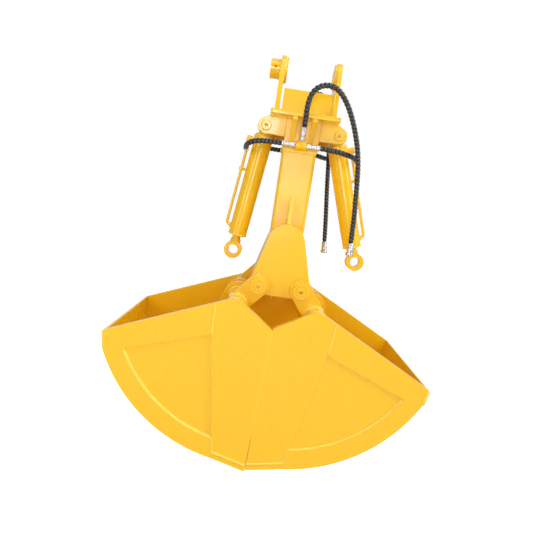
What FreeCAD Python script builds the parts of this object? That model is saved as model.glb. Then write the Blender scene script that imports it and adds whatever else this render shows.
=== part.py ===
import FreeCAD, Part
import math
import os

import Sketcher

# Hydraulic clamshell grab bucket for a mini excavator.
# Millimetres and degrees. +Z up, X across the shells, Y along the hinge pins.
# The origin is the middle of the hanger bore, between the two ears.
# Column pieces are drawn from the level of the hinge pins, midway between them.
# Shell pieces are drawn from their own hinge pin, with the two shells shut and level.
# Cylinder pieces are drawn from their own lug pin, hanging straight down.

SIZES = {
    # Hanger: two ears on a base plate
    "hanger_rise": 134.0,
    "hanger_bore_radius": 17.5,
    "ear_spread": 84.0,
    "ear_thickness": 13.0,
    "ear_top_radius": 40.0,
    "ear_taper": 16.0,
    "ear_boss_radius": 28.0,
    "ear_boss_length": 30.0,
    "ear_boss_bolt_radius": 4.0,
    "ear_pad_radius": 36.0,
    "ear_pad_thickness": 8.0,
    "base_plate_width": 200.0,
    "base_plate_depth": 230.0,
    "base_plate_thickness": 12.0,
    "base_plate_corner": 6.0,
    "cross_plate_height": 69.0,
    "cross_plate_thickness": 12.0,
    "cross_plate_front": 66.0,
    "cross_plate_end_gap": 7.0,
    # Column and its head
    "column_rise": 488.0,
    "column_foot": 26.0,
    "column_width": 102.0,
    "column_depth": 124.0,
    "column_wall": 8.0,
    "column_corner": 10.0,
    "head_plate_height": 94.0,
    "head_plate_thickness": 12.0,
    "head_plate_corner": 12.0,
    "gusset_spread": 28.0,
    "gusset_thickness": 14.0,
    "gusset_reach": 38.0,
    "gusset_nose": 9.0,
    "gusset_height": 82.0,
    "gusset_curve_radius": 90.0,
    # Lugs that the cylinders hang from
    "lug_pin_spread": 107.5,
    "lug_pin_drop": 31.0,
    "lug_pin_radius": 14.0,
    "lug_pin_stand_out": 3.0,
    "lug_end_radius": 23.0,
    "lug_height": 55.0,
    "pin_clearance": 0.05,
    "pin_dimple_radius": 4.0,
    "pin_dimple_depth": 3.0,
    # Apron round the hinge pins
    "hinge_spread": 62.0,
    "hinge_pin_radius": 15.0,
    "hinge_tube_radius": 20.0,
    "apron_half_depth": 135.0,
    "apron_plate": 12.0,
    "apron_side_plate": 8.0,
    "apron_top": 184.0,
    "apron_slope": 15.0,
    "apron_rib_height": 84.0,
    "apron_rib_thickness": 12.0,
    "apron_rib_foot": 55.0,
    # Tees for the oil
    "tee_drop": 77.0,
    "tee_stand_off": 24.0,
    "tee_radius": 11.0,
    "tee_arm": 15.0,
    "tee_stem_radius": 9.0,
    "tee_lean": 25.0,
    "union_nut_radius": 9.5,
    "union_nut_length": 10.0,
    "union_sleeve_radius": 8.5,
    "union_sleeve_length": 30.0,
    # Cylinders
    "left_cylinder_tilt": 7.65,
    "right_cylinder_tilt": 18.4,
    "barrel_radius": 28.5,
    "barrel_wall": 6.0,
    "barrel_start": 20.0,
    "barrel_cap": 25.0,
    "barrel_end": 335.0,
    "base_eye_radius": 25.0,
    "base_eye_side_gap": 0.4,
    "gland_length": 30.0,
    "gland_lip": 4.0,
    "gland_lip_radius": 25.5,
    "rod_radius": 13.0,
    "rod_spigot_radius": 8.0,
    "rod_clearance": 0.05,
    "piston_start": 60.0,
    "piston_length": 25.0,
    "piston_nut_radius": 13.0,
    "piston_nut_length": 10.0,
    "rod_eye_drop": 384.0,
    "rod_eye_radius": 28.0,
    "rod_eye_bore_radius": 15.0,
    "rod_eye_width": 32.0,
    "rod_eye_neck_radius": 16.5,
    "rod_eye_neck": 7.0,
    "cap_port_drop": 42.0,
    "cap_port_radius": 10.0,
    "cap_port_reach": 50.0,
    "cap_port_stub": 30.0,
    "stub_radius": 8.0,
    "oil_line_offset": 42.0,
    "oil_line_radius": 4.5,
    "oil_line_start": 75.0,
    "oil_line_stub": 30.0,
    "oil_line_foot": 312.0,
    "oil_clamp_drop": 130.0,
    "oil_clamp_height": 10.0,
    # Shells
    "shell_rest_angle": 2.6,
    "shell_half_width": 225.0,
    "seam_gap": 0.5,
    "side_plate": 12.0,
    "side_frame": 6.0,
    "floor_plate": 12.0,
    "floor_radius": 462.0,
    "lip_drop": 533.0,
    "heel_out": 45.0,
    "heel_drop": 509.0,
    "tip_out": 402.0,
    "tip_height": 49.0,
    "tip_inset": 7.0,
    "rim_slope": 24.85,
    "notch_slope": 32.8,
    "corner_radius": 32.0,
    "cutting_edge": 20.0,
    "cutting_edge_bevel": 8.0,
    "window_corner_out": 102.0,
    "window_corner_drop": 147.0,
    "window_tip_out": 338.0,
    "window_tip_drop": 233.0,
    "window_heel_out": 48.5,
    "window_heel_drop": 449.0,
    "window_radius": 404.0,
    "cross_tube_out": 53.5,
    "cross_tube_drop": 67.0,
    "cross_tube_radius": 30.0,
    "cross_tube_wall": 8.0,
    "arm_gap": 0.5,
    "arm_thickness": 13.0,
    "arm_radius": 32.0,
    "arm_length": 66.0,
    "arm_boss_radius": 24.0,
    "arm_boss_stand_out": 12.0,
    "rod_lug_out": 95.0,
    "rod_lug_drop": 125.0,
    "rod_lug_radius": 26.0,
    "rod_lug_collar_radius": 46.0,
    "rod_lug_gap": 40.0,
    "rod_lug_thickness": 12.0,
    "rod_lug_bore_radius": 15.0,
    # Hoses
    "hose_radius": 8.0,
    "coupling_sleeve_radius": 10.0,
    "coupling_sleeve_length": 26.0,
    "coupling_nut_radius": 11.5,
    "coupling_nut_length": 12.0,
}

doc = FreeCAD.newDocument("clamshell_grab")


# A number that also knows its formula in the document

class Size:
    def __init__(self, value, formula=None):
        self.value = float(value)
        self.formula = formula or f"{self.value:.9g}"

    def __add__(self, other):
        other = sized(other)
        return Size(self.value + other.value, f"({self.formula} + {other.formula})")

    def __sub__(self, other):
        other = sized(other)
        return Size(self.value - other.value, f"({self.formula} - {other.formula})")

    def __mul__(self, other):
        other = sized(other)
        return Size(self.value * other.value, f"({self.formula} * {other.formula})")

    def __truediv__(self, other):
        other = sized(other)
        return Size(self.value / other.value, f"({self.formula} / {other.formula})")

    def __neg__(self):
        return Size(-self.value, f"(0 - {self.formula})")

    __radd__ = __add__
    __rmul__ = __mul__

    def __rsub__(self, other):
        return sized(other) - self

    def __rtruediv__(self, other):
        return sized(other) / self


def sized(number):
    return number if isinstance(number, Size) else Size(number)


def sine(angle):
    return Size(math.sin(math.radians(angle.value)), f"sin({angle.formula})")


def cosine(angle):
    return Size(math.cos(math.radians(angle.value)), f"cos({angle.formula})")


def tangent(angle):
    return Size(math.tan(math.radians(angle.value)), f"tan({angle.formula})")


def root(number):
    return Size(math.sqrt(number.value), f"sqrt({number.formula})")


def fill_sheet():
    sheet = doc.addObject("Spreadsheet::Sheet", "sizes")
    for row, (name, value) in enumerate(SIZES.items(), start=1):
        sheet.set(f"A{row}", name)
        sheet.set(f"B{row}", str(value))
        sheet.setAlias(f"B{row}", name)


class Named:
    """The driving sizes by name, each with its cell in the sheet as its formula."""

    def __getattr__(self, name):
        return Size(SIZES[name], f"sizes.{name}")


fill_sheet()
worked_out = doc.addObject("App::VarSet", "worked_out")
s = Named()


def derive(name, size):
    """Keep a worked-out size under a name of its own, so that formulas stay short."""
    worked_out.addProperty("App::PropertyFloat", name)
    worked_out.setExpression(name, size.formula)
    return Size(size.value, f"worked_out.{name}")


# Sizes that several pieces share

HINGE_LEVEL = derive("hinge_level", -(s.column_rise + s.base_plate_thickness + s.hanger_rise))
LUG_PIN_RISE = derive("lug_pin_rise", s.column_rise - s.lug_pin_drop)
TEE_RISE = derive("tee_rise", s.column_rise - s.tee_drop)
COLUMN_FACE = derive("column_face", s.column_depth / 2)
HEAD_FACE = derive("head_face", COLUMN_FACE + s.head_plate_thickness)
APRON_INSIDE = derive("apron_inside", s.apron_half_depth - s.apron_plate)
APRON_CORNER = derive("apron_corner", s.hinge_tube_radius + s.apron_side_plate)
APRON_LINE = derive("apron_line", s.hinge_spread * cosine(s.apron_slope) + APRON_CORNER)
APRON_ARCH = derive(
    "apron_arch",
    (APRON_LINE - s.apron_top * sine(s.apron_slope)) / (1 - sine(s.apron_slope)),
)
ARCH_RISE = derive("arch_rise", s.apron_top - APRON_ARCH)
ARM_FACE = derive("arm_face", s.apron_half_depth + s.arm_gap)
BOSS_FACE = derive("boss_face", ARM_FACE + s.arm_thickness + s.arm_boss_stand_out)
EAR_INSIDE = derive("ear_inside", s.ear_spread - s.ear_thickness / 2)
BARREL_BORE = derive("barrel_bore", s.barrel_radius - s.barrel_wall)
ROD_TOP = derive("rod_top", s.rod_eye_drop - s.rod_eye_radius - s.rod_eye_neck)
SIDE_OUTSIDE = derive("side_outside", s.shell_half_width - s.side_frame)
SIDE_INSIDE = derive("side_inside", SIDE_OUTSIDE - s.side_plate)
SEAM = derive("seam", s.seam_gap - s.hinge_spread)
TEE_DEPTH = derive("tee_depth", HEAD_FACE + s.tee_stand_off)


# Drawing

class Bend:
    """An arc from the corner before it to the corner after it. turn is 1 for anticlockwise.

    A half circle is fixed by its centre, since its radius can't tell which way it bulges.
    """

    def __init__(self, radius, turn, centre=None):
        self.radius = sized(radius)
        self.turn = turn
        self.centre = centre


class Ring:
    """A full circle in a sketch."""

    def __init__(self, x, y, radius):
        self.x, self.y, self.radius = sized(x), sized(y), sized(radius)


def arc_between(start, end, bend, turn):
    """The arc of a bend as anticlockwise geometry, and which of its ends is the start corner."""
    first, last = (start, end) if turn > 0 else (end, start)
    chord = last - first
    half = chord.Length / 2
    radius = max(bend.radius.value, half)
    height = math.sqrt(radius * radius - half * half)
    left = FreeCAD.Vector(-chord.y, chord.x, 0).normalize()
    centre = first + chord * 0.5 + left * height
    angle_first = math.atan2(first.y - centre.y, first.x - centre.x)
    angle_last = math.atan2(last.y - centre.y, last.x - centre.x)
    if angle_last < angle_first:
        angle_last += 2 * math.pi
    circle = Part.Circle(centre, FreeCAD.Vector(0, 0, 1), radius)
    return Part.ArcOfCircle(circle, angle_first, angle_last), (1 if turn > 0 else 2)


def bind(sketch, kind, *target):
    """Add a dimension and bind it to its formula."""
    size = target[-1]
    index = sketch.addConstraint(Sketcher.Constraint(kind, *target[:-1], size.value))
    sketch.setExpression(f"Constraints[{index}]", size.formula)


def draw_loop(sketch, loop, flip):
    corners = []
    bends = {}
    for item in loop:
        if isinstance(item, Bend):
            bends[len(corners) - 1] = item
        else:
            corners.append((sized(item[0]) * flip, sized(item[1])))
    edges = []
    for number, corner in enumerate(corners):
        follower = corners[(number + 1) % len(corners)]
        start = FreeCAD.Vector(corner[0].value, corner[1].value, 0)
        end = FreeCAD.Vector(follower[0].value, follower[1].value, 0)
        if number in bends:
            arc, start_end = arc_between(start, end, bends[number], bends[number].turn * flip)
            edges.append((sketch.addGeometry(arc), start_end, 3 - start_end))
        else:
            edges.append((sketch.addGeometry(Part.LineSegment(start, end)), 1, 2))
    for number, (edge, start_end, far_end) in enumerate(edges):
        follower = edges[(number + 1) % len(edges)]
        sketch.addConstraint(Sketcher.Constraint("Coincident", edge, far_end, follower[0], follower[1]))
        bind(sketch, "DistanceX", edge, start_end, corners[number][0])
        bind(sketch, "DistanceY", edge, start_end, corners[number][1])
        if number not in bends:
            continue
        centre = bends[number].centre
        if centre is None:
            bind(sketch, "Radius", edge, bends[number].radius)
        elif abs(edges_run(corners, number, 1)) > abs(edges_run(corners, number, 0)):
            bind(sketch, "DistanceX", edge, 3, sized(centre[0]) * flip)
        else:
            bind(sketch, "DistanceY", edge, 3, sized(centre[1]))


def edges_run(corners, number, way):
    """How far an edge runs along X (way 0) or Y (way 1)."""
    follower = corners[(number + 1) % len(corners)]
    return follower[way].value - corners[number][way].value


def draw_ring(sketch, ring, flip):
    centre = FreeCAD.Vector(ring.x.value * flip, ring.y.value, 0)
    circle = Part.Circle(centre, FreeCAD.Vector(0, 0, 1), ring.radius.value)
    edge = sketch.addGeometry(circle)
    bind(sketch, "DistanceX", edge, 3, ring.x * flip)
    bind(sketch, "DistanceY", edge, 3, ring.y)
    bind(sketch, "Radius", edge, ring.radius)


def sketch_on(body, plane, shapes, lift=None, flip=1):
    """A sketch on one of the body's own planes. A lift moves it along the plane's normal."""
    sketch = body.newObject("Sketcher::SketchObject", f"{body.Name}_sketch")
    support = [face for face in body.Origin.OriginFeatures if face.Role == plane]
    sketch.AttachmentSupport = [(support[0], "")]
    sketch.MapMode = "FlatFace"
    if lift is not None:
        sketch.setExpression("AttachmentOffset.Base.z", sized(lift).formula)
    for shape in shapes:
        if isinstance(shape, Ring):
            draw_ring(sketch, shape, flip)
        else:
            draw_loop(sketch, shape, flip)
    return sketch


def new_body(label):
    body = doc.addObject("PartDesign::Body", label)
    body.Label = label
    body.AllowCompound = True
    return body


def pad(body, sketch, length, both_ways=False, down=False):
    feature = body.newObject("PartDesign::Pad", f"{body.Name}_pad")
    feature.Profile = sketch
    feature.SideType = "Symmetric" if both_ways else "One side"
    feature.setExpression("Length", sized(length).formula)
    feature.Reversed = down
    body.Tip = feature
    return feature


def revolve(body, sketch, axis):
    feature = body.newObject("PartDesign::Revolution", f"{body.Name}_revolution")
    feature.Profile = sketch
    feature.ReferenceAxis = (sketch, [axis])
    feature.Angle = 360
    body.Tip = feature
    return feature


def cut_through(body, sketch):
    """Cut the sketch out of the body, through all of it, both ways."""
    feature = body.newObject("PartDesign::Pocket", f"{body.Name}_pocket")
    feature.Profile = sketch
    feature.SideType = "Symmetric"
    feature.Type = "ThroughAll"
    body.Tip = feature
    return feature


def mirror_in(body, features, plane):
    feature = body.newObject("PartDesign::Mirrored", f"{body.Name}_mirrored")
    feature.Originals = features
    support = [face for face in body.Origin.OriginFeatures if face.Role == plane]
    feature.MirrorPlane = (support[0], [""])
    body.Tip = feature
    return feature


def place(piece, x=None, y=None, z=None, tilt=None):
    """Bind the place of a piece. A tilt turns it about Y, clockwise as seen from the front."""
    if tilt is not None:
        turn = FreeCAD.Rotation(FreeCAD.Vector(0, 1, 0), tilt.value)
        piece.Placement = FreeCAD.Placement(FreeCAD.Vector(0, 0, 0), turn)
        piece.setExpression("Placement.Rotation.Axis.y", "1")
        piece.setExpression("Placement.Rotation.Angle", tilt.formula)
    for name, size in (("x", x), ("y", y), ("z", z)):
        if size is not None:
            piece.setExpression(f"Placement.Base.{name}", sized(size).formula)


def on_column(piece):
    place(piece, z=HINGE_LEVEL)


def on_cylinder(piece, side):
    tilt = (s.right_cylinder_tilt if side > 0 else s.left_cylinder_tilt) * -side
    place(piece, x=s.lug_pin_spread * side, z=HINGE_LEVEL + LUG_PIN_RISE, tilt=tilt)


def on_shell(piece, side):
    place(piece, x=s.hinge_spread * side, z=HINGE_LEVEL, tilt=s.shell_rest_angle)


def plate(label, shapes, start, thickness, both=False, flip=1):
    """An upright plate, drawn as seen from the front, that starts so far in front of the middle."""
    body = new_body(label)
    feature = pad(body, sketch_on(body, "XZ_Plane", shapes, lift=start, flip=flip), thickness)
    if both:
        mirror_in(body, [feature], "XZ_Plane")
    return body


def flipped(loop):
    """The same loop, turned over about the upright axis."""
    return [Bend(item.radius, -item.turn) if isinstance(item, Bend) else (-sized(item[0]), item[1])
            for item in loop]


def tangent_point(px, py, cx, cy, radius, turn):
    """Where the line from a point touches a circle. turn picks which of the two."""
    dx, dy = px - cx, py - cy
    square = dx * dx + dy * dy
    along = radius * radius / square
    across = radius * root(square - radius * radius) / square * turn
    return cx + dx * along - dy * across, cy + dy * along + dx * across


def spun(label, outline, lift=None):
    """A solid turned about Y, from an outline of (distance along Y, radius) corners."""
    body = new_body(label)
    revolve(body, sketch_on(body, "YZ_Plane", [outline], lift=lift), "H_Axis")
    return body


# Hanger and base plate

def rounded_rectangle(half_x, half_y, corner):
    corners = []
    for sx, sy in ((1, 1), (-1, 1), (-1, -1), (1, -1)):
        along = (half_x * sx, (half_y - corner) * sy)
        across = ((half_x - corner) * sx, half_y * sy)
        first, last = (along, across) if sx * sy > 0 else (across, along)
        corners += [first, Bend(corner, 1), last]
    return corners


def make_base_plate():
    body = new_body("base_plate")
    outline = rounded_rectangle(s.base_plate_width / 2, s.base_plate_depth / 2, s.base_plate_corner)
    pad(body, sketch_on(body, "XY_Plane", [outline]), s.base_plate_thickness)
    place(body, z=HINGE_LEVEL + s.column_rise)


def make_ears():
    """Two tapered ears, drawn from the bore: a round top on sides that spread to the base plate."""
    side_x = s.ear_top_radius * cosine(s.ear_taper)
    side_z = s.ear_top_radius * sine(s.ear_taper)
    foot = side_x + (s.hanger_rise + side_z) * tangent(s.ear_taper)
    outline = [
        (-foot, -s.hanger_rise),
        (foot, -s.hanger_rise),
        (side_x, side_z),
        Bend(s.ear_top_radius, 1),
        (-side_x, side_z),
    ]
    bore = Ring(0, 0, s.hanger_bore_radius)
    for name, side in (("left", -1), ("right", 1)):
        body = new_body(f"ear_{name}")
        sketch = sketch_on(body, "YZ_Plane", [outline, bore])
        pad(body, sketch, s.ear_thickness, both_ways=True)
        place(body, x=s.ear_spread * side)


def make_ear_boss():
    """The collar outside the left ear, cross drilled for the bolt that keeps the machine's pin."""
    body = new_body("ear_boss")
    rings = [Ring(0, 0, s.ear_boss_radius), Ring(0, 0, s.hanger_bore_radius)]
    pad(body, sketch_on(body, "YZ_Plane", rings), s.ear_boss_length)
    bolt = [Ring(s.ear_boss_length / 2, 0, s.ear_boss_bolt_radius)]
    cut_through(body, sketch_on(body, "XZ_Plane", bolt))
    place(body, x=-(s.ear_spread + s.ear_thickness / 2 + s.ear_boss_length))


def make_ear_pads():
    body = new_body("ear_pads")
    rings = [Ring(0, 0, s.ear_pad_radius), Ring(0, 0, s.hanger_bore_radius)]
    lift = EAR_INSIDE - s.ear_pad_thickness
    feature = pad(body, sketch_on(body, "YZ_Plane", rings, lift=lift), s.ear_pad_thickness)
    mirror_in(body, [feature], "YZ_Plane")


def make_cross_plate():
    """The plate between the ears. It meets the right ear and stops short of the left one."""
    left = s.cross_plate_end_gap - EAR_INSIDE
    outline = [
        (left, 0),
        (EAR_INSIDE, 0),
        (EAR_INSIDE, s.cross_plate_height),
        (left, s.cross_plate_height),
    ]
    start = s.cross_plate_front - s.cross_plate_thickness
    body = plate("cross_plate", [outline], start, s.cross_plate_thickness)
    place(body, z=-s.hanger_rise)


# Column and head

def make_column_tube():
    body = new_body("column_tube")
    half_x, half_y = s.column_width / 2, s.column_depth / 2
    outside = rounded_rectangle(half_x, half_y, s.column_corner)
    inside = rounded_rectangle(half_x - s.column_wall, half_y - s.column_wall, s.column_corner - s.column_wall / 2)
    sketch = sketch_on(body, "XY_Plane", [outside, inside], lift=s.column_foot)
    pad(body, sketch, s.column_rise - s.column_foot)
    on_column(body)


def make_head_plates():
    """A doubler on the front and back of the column, from the base plate down past the tees."""
    half, corner = s.column_width / 2, s.head_plate_corner
    low = s.column_rise - s.head_plate_height
    outline = [
        (half, s.column_rise),
        (-half, s.column_rise),
        (-half, low + corner),
        Bend(corner, 1),
        (corner - half, low),
        (half - corner, low),
        Bend(corner, 1),
        (half, low + corner),
    ]
    on_column(plate("head_plates", [outline], COLUMN_FACE, s.head_plate_thickness, both=True))


def make_head_gussets():
    """Four gussets that curve out from the head plates to carry the base plate's overhang."""
    body = new_body("head_gussets")
    out = HEAD_FACE + s.gusset_reach
    back = [
        (HEAD_FACE, s.column_rise),
        (HEAD_FACE, s.column_rise - s.gusset_height),
        Bend(s.gusset_curve_radius, -1),
        (out, s.column_rise - s.gusset_nose),
        (out, s.column_rise),
    ]
    lift = s.gusset_spread - s.gusset_thickness / 2
    shapes = [back, flipped(back)]
    feature = pad(body, sketch_on(body, "YZ_Plane", shapes, lift=lift), s.gusset_thickness)
    mirror_in(body, [feature], "YZ_Plane")
    on_column(body)


def make_lug_plates():
    """Two lug plates each side: sloped off from the base plate's end, round about the pin."""
    half = s.column_width / 2
    end = (s.lug_pin_spread, LUG_PIN_RISE, s.lug_end_radius)
    top_corner = (s.base_plate_width / 2, s.column_rise)
    low_corner = (half, s.column_rise - s.lug_height)
    outline = [
        (half, s.column_rise),
        low_corner,
        tangent_point(*low_corner, *end, 1),
        Bend(s.lug_end_radius, 1),
        tangent_point(*top_corner, *end, -1),
        top_corner,
    ]
    hole = Ring(s.lug_pin_spread, LUG_PIN_RISE, s.lug_pin_radius + s.pin_clearance)
    for name, side in (("left", -1), ("right", 1)):
        shapes = [outline, hole]
        thickness = s.head_plate_thickness
        body = plate(f"lug_plates_{name}", shapes, COLUMN_FACE, thickness, both=True, flip=side)
        on_column(body)


def pin_outline(half_length, radius):
    """Half section of a pin along Y, with a dimple in each end for its grease nipple."""
    dimple = half_length - s.pin_dimple_depth
    return [
        (-dimple, 0),
        (-dimple, s.pin_dimple_radius),
        (-half_length, s.pin_dimple_radius),
        (-half_length, radius),
        (half_length, radius),
        (half_length, s.pin_dimple_radius),
        (dimple, s.pin_dimple_radius),
        (dimple, 0),
    ]


def make_lug_pins():
    outline = pin_outline(HEAD_FACE + s.lug_pin_stand_out, s.lug_pin_radius)
    for name, side in (("left", -1), ("right", 1)):
        body = spun(f"lug_pin_{name}", outline)
        place(body, x=s.lug_pin_spread * side, z=HINGE_LEVEL + LUG_PIN_RISE)


# Apron and hinge

def arch_point(radius, side):
    """The point of the apron's arch, at a radius, where its side line begins."""
    return radius * cosine(s.apron_slope) * side, ARCH_RISE + radius * sine(s.apron_slope)


def corner_point(radius, side):
    """The point at a radius round the hinge pin where the apron's side line ends."""
    return (s.hinge_spread + radius * cosine(s.apron_slope)) * side, radius * sine(s.apron_slope)


def make_apron_plates():
    """Front and back plate: an arch over two sloping sides that close round the hinge pins."""
    outline = [
        (-s.hinge_spread, -APRON_CORNER),
        (s.hinge_spread, -APRON_CORNER),
        Bend(APRON_CORNER, 1),
        corner_point(APRON_CORNER, 1),
        arch_point(APRON_ARCH, 1),
        Bend(APRON_ARCH, 1),
        arch_point(APRON_ARCH, -1),
        corner_point(APRON_CORNER, -1),
        Bend(APRON_CORNER, 1),
    ]
    holes = [Ring(s.hinge_spread, 0, s.hinge_tube_radius), Ring(-s.hinge_spread, 0, s.hinge_tube_radius)]
    for label, start in (("apron_front", APRON_INSIDE), ("apron_back", -s.apron_half_depth)):
        on_column(plate(label, [outline] + holes, start, s.apron_plate))


def make_apron_sides():
    """One plate bent over between the two aprons, rolled round both hinge tubes, cut to the column."""
    inner = APRON_ARCH - s.apron_side_plate
    tube = s.hinge_tube_radius
    outline = [
        arch_point(APRON_ARCH, 1),
        Bend(APRON_ARCH, 1),
        arch_point(APRON_ARCH, -1),
        corner_point(APRON_CORNER, -1),
        Bend(APRON_CORNER, 1),
        (-s.hinge_spread, -APRON_CORNER),
        (-s.hinge_spread, -tube),
        Bend(tube, -1),
        corner_point(tube, -1),
        arch_point(inner, -1),
        Bend(inner, -1),
        arch_point(inner, 1),
        corner_point(tube, 1),
        Bend(tube, -1),
        (s.hinge_spread, -tube),
        (s.hinge_spread, -APRON_CORNER),
        Bend(APRON_CORNER, 1),
        corner_point(APRON_CORNER, 1),
    ]
    body = new_body("apron_sides")
    pad(body, sketch_on(body, "XZ_Plane", [outline]), APRON_INSIDE * 2, both_ways=True)
    column = rounded_rectangle(s.column_width / 2, s.column_depth / 2, s.column_corner)
    cut_through(body, sketch_on(body, "XY_Plane", [column]))
    on_column(body)


def make_apron_ribs():
    """A three-cornered rib on the front and back of the column, standing on the apron's arch."""
    body = new_body("apron_ribs")
    top = s.apron_top + s.apron_rib_height
    front = [
        (-COLUMN_FACE, s.apron_top),
        (-COLUMN_FACE, top),
        (-(COLUMN_FACE + s.apron_rib_foot), s.apron_top),
    ]
    first = pad(body, sketch_on(body, "YZ_Plane", [front]), s.apron_rib_thickness, both_ways=True)
    mirror_in(body, [first], "XZ_Plane")
    on_column(body)


def make_hinge_tubes():
    body = new_body("hinge_tubes")
    bore = s.hinge_pin_radius + s.pin_clearance
    rings = [Ring(s.hinge_spread, 0, s.hinge_tube_radius), Ring(s.hinge_spread, 0, bore)]
    first = pad(body, sketch_on(body, "XZ_Plane", rings), s.apron_half_depth * 2, both_ways=True)
    mirror_in(body, [first], "YZ_Plane")
    on_column(body)


def make_hinge_pins():
    outline = pin_outline(BOSS_FACE, s.hinge_pin_radius)
    for name, side in (("left", -1), ("right", 1)):
        body = spun(f"hinge_pin_{name}", outline)
        place(body, x=s.hinge_spread * side, z=HINGE_LEVEL)


# Tees and their unions

def vector(x, y, z):
    return FreeCAD.Vector(x, y, z)


def turned(base, direction, steps):
    """A solid of round steps along a direction: each step is (length, radius)."""
    solid = None
    for length, radius in steps:
        step = Part.makeCylinder(radius, length, base, direction)
        solid = step if solid is None else solid.fuse(step)
        base = base + direction * length
    return solid.removeSplitter()


def hexagonal(base, direction, radius, length):
    """A hexagonal bar along a direction, from its corner radius."""
    corners = [vector(radius * math.cos(turn), radius * math.sin(turn), 0)
               for turn in (math.pi / 3 * step for step in range(7))]
    bar = Part.Face(Part.makePolygon(corners)).extrude(vector(0, 0, length))
    bar.Placement = FreeCAD.Placement(base, FreeCAD.Rotation(vector(0, 0, 1), direction))
    return bar


def tee_frame(front):
    """The middle of a tee and the direction of its top port. front is -1, or 1 for the back."""
    lean = math.radians(s.tee_lean.value)
    middle = vector(0, front * TEE_DEPTH.value, HINGE_LEVEL.value + TEE_RISE.value)
    return middle, vector(0, front * math.sin(lean), math.cos(lean))


def tee_ports(front):
    middle, up = tee_frame(front)
    return [(middle, direction) for direction in (vector(-1, 0, 0), vector(1, 0, 0), up)]


def make_tees():
    """A forged tee on a stem, front and back of the head: two side ports and one that leans out."""
    tees = []
    for front in (-1, 1):
        middle, up = tee_frame(front)
        arm, radius = s.tee_arm.value, s.tee_radius.value
        tee = Part.makeCylinder(radius, 2 * arm, middle - vector(arm, 0, 0), vector(1, 0, 0))
        tee = tee.fuse(Part.makeCylinder(radius, arm, middle, up))
        stem = Part.makeCylinder(s.tee_stem_radius.value, s.tee_stand_off.value, middle, vector(0, -front, 0))
        tees.append(tee.fuse(stem).removeSplitter())
    add_shape("manifold_tees", Part.makeCompound(tees))


def union_solid(base, direction):
    nut = hexagonal(base, direction, s.union_nut_radius.value, s.union_nut_length.value)
    start = base + direction * s.union_nut_length.value
    sleeve = Part.makeCylinder(s.union_sleeve_radius.value, s.union_sleeve_length.value, start, direction)
    return nut.fuse(sleeve)


def make_tee_unions():
    unions = []
    for front in (-1, 1):
        for middle, direction in tee_ports(front):
            unions.append(union_solid(middle + direction * s.tee_arm.value, direction))
    add_shape("tee_unions", Part.makeCompound(unions))


def add_shape(label, shape):
    piece = doc.addObject("Part::Feature", label)
    piece.Label = label
    piece.Shape = shape
    return piece


# Cylinders

def make_barrel(name, side):
    """The barrel with its cap, coped on the base eye, and the cap end's port with a stub behind."""
    body = new_body(f"{name}_barrel")
    shoulder = s.barrel_start + s.barrel_cap
    section = [
        (0, -s.barrel_start),
        (0, -shoulder),
        (BARREL_BORE, -shoulder),
        (BARREL_BORE, -s.barrel_end),
        (s.barrel_radius, -s.barrel_end),
        (s.barrel_radius, -s.barrel_start),
    ]
    revolve(body, sketch_on(body, "XZ_Plane", [section]), "V_Axis")
    boss = [Ring(0, -s.cap_port_drop, s.cap_port_radius)]
    inside = s.barrel_radius - s.barrel_wall / 2
    sketch = sketch_on(body, "YZ_Plane", boss, lift=inside * side)
    pad(body, sketch, s.cap_port_reach - inside, down=side < 0)
    stub = [Ring((s.cap_port_reach - s.cap_port_radius) * side, -s.cap_port_drop, s.stub_radius)]
    pad(body, sketch_on(body, "XZ_Plane", stub), s.cap_port_stub, down=True)
    cut_through(body, sketch_on(body, "XZ_Plane", [Ring(0, 0, s.base_eye_radius)]))
    on_cylinder(body, side)


def make_base_eye(name, side):
    body = new_body(f"{name}_base_eye")
    rings = [Ring(0, 0, s.base_eye_radius), Ring(0, 0, s.lug_pin_radius + s.pin_clearance)]
    length = (COLUMN_FACE - s.base_eye_side_gap) * 2
    pad(body, sketch_on(body, "XZ_Plane", rings), length, both_ways=True)
    on_cylinder(body, side)


def make_gland(name, side):
    body = new_body(f"{name}_gland")
    bore = s.rod_radius + s.rod_clearance
    section = [
        (bore, -(s.barrel_end - s.gland_length)),
        (bore, -(s.barrel_end + s.gland_lip)),
        (s.gland_lip_radius, -(s.barrel_end + s.gland_lip)),
        (s.gland_lip_radius, -s.barrel_end),
        (BARREL_BORE, -s.barrel_end),
        (BARREL_BORE, -(s.barrel_end - s.gland_length)),
    ]
    revolve(body, sketch_on(body, "XZ_Plane", [section]), "V_Axis")
    on_cylinder(body, side)


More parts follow.
